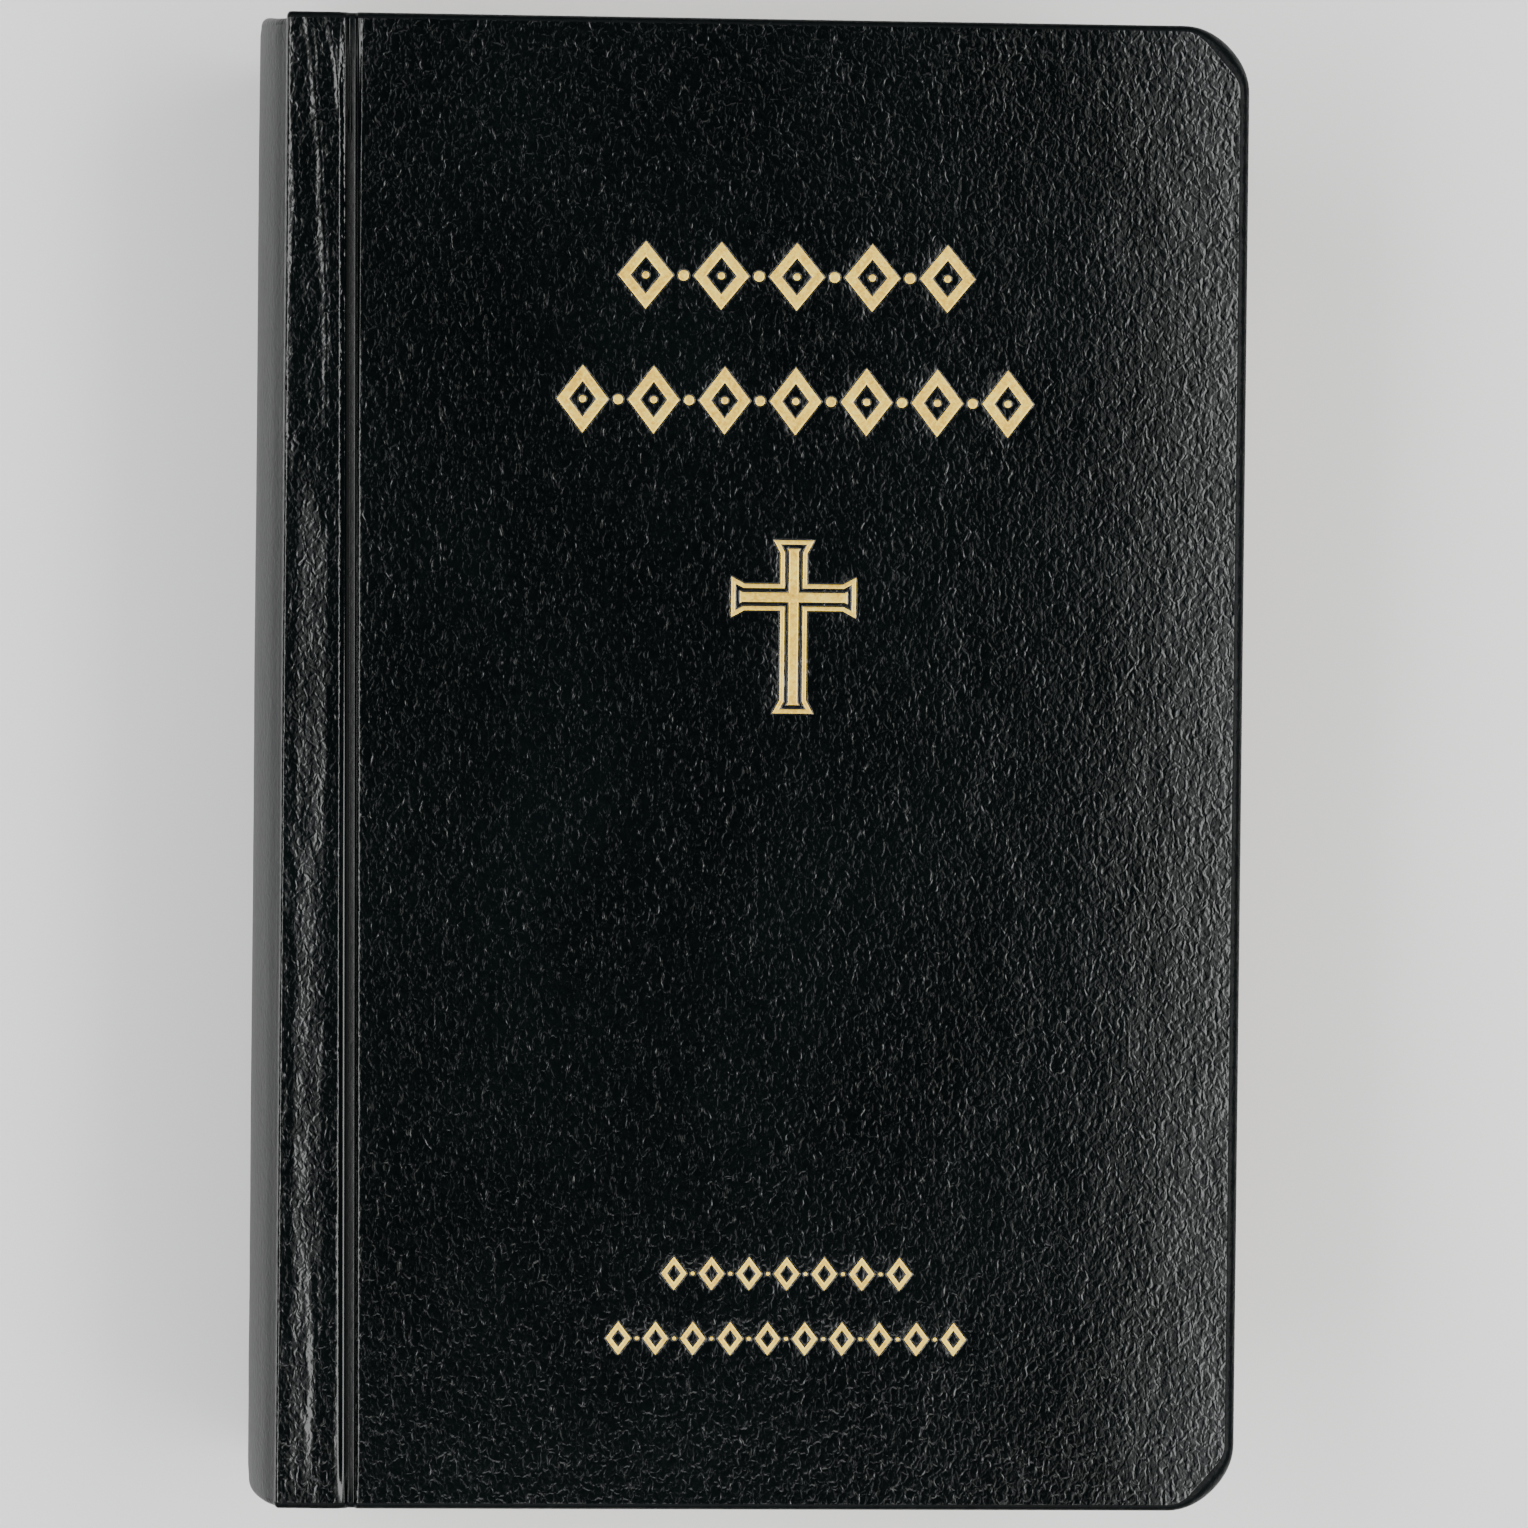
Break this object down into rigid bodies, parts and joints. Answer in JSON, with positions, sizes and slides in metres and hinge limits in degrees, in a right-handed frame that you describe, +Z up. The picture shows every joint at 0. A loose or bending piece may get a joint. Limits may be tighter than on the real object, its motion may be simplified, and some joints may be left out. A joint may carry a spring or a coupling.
{
  "type": "prayer book",
  "caption": "Thick pocket prayer book in dark grained leatherette with gold foil ornament; the covers and the first and last leaves turn on their joints.",
  "frame": {"origin": "middle of the book's box, on the surface that the back cover lies on", "axes": "+X from the spine to the fore-edge, +Y to the head, +Z up out of the front cover"},
  "size_m": [0.1118, 0.167, 0.038],
  "materials": {
    "leatherette": "semi-gloss pebbled leatherette",
    "board": "grey binder's board",
    "endpaper": "smooth uncoated",
    "text_paper": "thin uncoated",
    "foil": "bright hot-stamped foil",
    "lining_paper": "kraft",
    "mull": "open-weave cotton",
    "band_cloth": "striped woven band",
    "thread": "linen thread"
  },
  "bodies": {
    "back_cover": {"back_board": "board", "back_covering": "leatherette", "back_pastedown": "endpaper"},
    "book_block": {"spine_covering": "leatherette", "spine_stiffener": "board", "spine_lining": "lining_paper", "spine_mull": "mull", "headband": "band_cloth", "tailband": "band_cloth", "sewing_thread_1": "thread", "sewing_thread_2": "thread", "sewing_thread_3": "thread", "sewing_thread_4": "thread", "sewing_thread_5": "thread", "section_01": "text_paper", "section_02": "text_paper", "section_03": "text_paper", "section_04": "text_paper", "section_05": "text_paper", "section_06": "text_paper", "section_07": "text_paper", "section_08": "text_paper", "section_09": "text_paper", "section_10": "text_paper", "section_11": "text_paper", "section_12": "text_paper", "section_13": "text_paper", "section_14": "text_paper", "section_15": "text_paper", "section_16": "text_paper"},
    "front_cover": {"front_board": "board", "front_covering": "leatherette", "front_pastedown": "endpaper", "foil_title_upper": "foil", "foil_title_lower": "foil", "foil_cross": "foil", "foil_foot_upper": "foil", "foil_foot_lower": "foil"},
    "front_flyleaf": {"front_flyleaf": "endpaper"},
    "front_leaf_1": {"front_leaf_1": "text_paper"},
    "front_leaf_2": {"front_leaf_2": "text_paper"},
    "front_leaf_3": {"front_leaf_3": "text_paper"},
    "back_flyleaf": {"back_flyleaf": "endpaper"}
  },
  "joints": [
    {"name": "front_cover_hinge", "type": "hinge", "parent": "book_block", "child": "front_cover", "pos_m": [-0.04503, 0, 0.03805], "axis": [0, -1, 0], "range_deg": [0, 180]},
    {"name": "back_cover_hinge", "type": "hinge", "parent": "back_cover", "child": "book_block", "pos_m": [-0.0521, 0, 0.0039], "axis": [0, 1, 0], "range_deg": [-90, 0]},
    {"name": "front_flyleaf_turn", "type": "hinge", "parent": "book_block", "child": "front_flyleaf", "pos_m": [-0.0404, 0, 0.03455], "axis": [0, -1, 0], "range_deg": [0, 125]},
    {"name": "front_leaf_1_turn", "type": "hinge", "parent": "book_block", "child": "front_leaf_1", "pos_m": [-0.0398, 0, 0.0343], "axis": [0, -1, 0], "range_deg": [0, 125]},
    {"name": "front_leaf_2_turn", "type": "hinge", "parent": "book_block", "child": "front_leaf_2", "pos_m": [-0.0392, 0, 0.03405], "axis": [0, -1, 0], "range_deg": [0, 125]},
    {"name": "front_leaf_3_turn", "type": "hinge", "parent": "book_block", "child": "front_leaf_3", "pos_m": [-0.0386, 0, 0.0338], "axis": [0, -1, 0], "range_deg": [0, 125]},
    {"name": "back_flyleaf_turn", "type": "hinge", "parent": "back_cover", "child": "back_flyleaf", "pos_m": [-0.0404, 0, 0.00335], "axis": [0, 1, 0], "range_deg": [-90, 0]}
  ],
  "couplings": [
    {"joint": "front_flyleaf_turn", "follows": "front_cover_hinge", "ratio": 0.66},
    {"joint": "front_leaf_1_turn", "follows": "front_cover_hinge", "ratio": 0.5},
    {"joint": "front_leaf_2_turn", "follows": "front_cover_hinge", "ratio": 0.3},
    {"joint": "front_leaf_3_turn", "follows": "front_cover_hinge", "ratio": 0.12},
    {"joint": "back_flyleaf_turn", "follows": "back_cover_hinge", "ratio": 0.3}
  ]
}
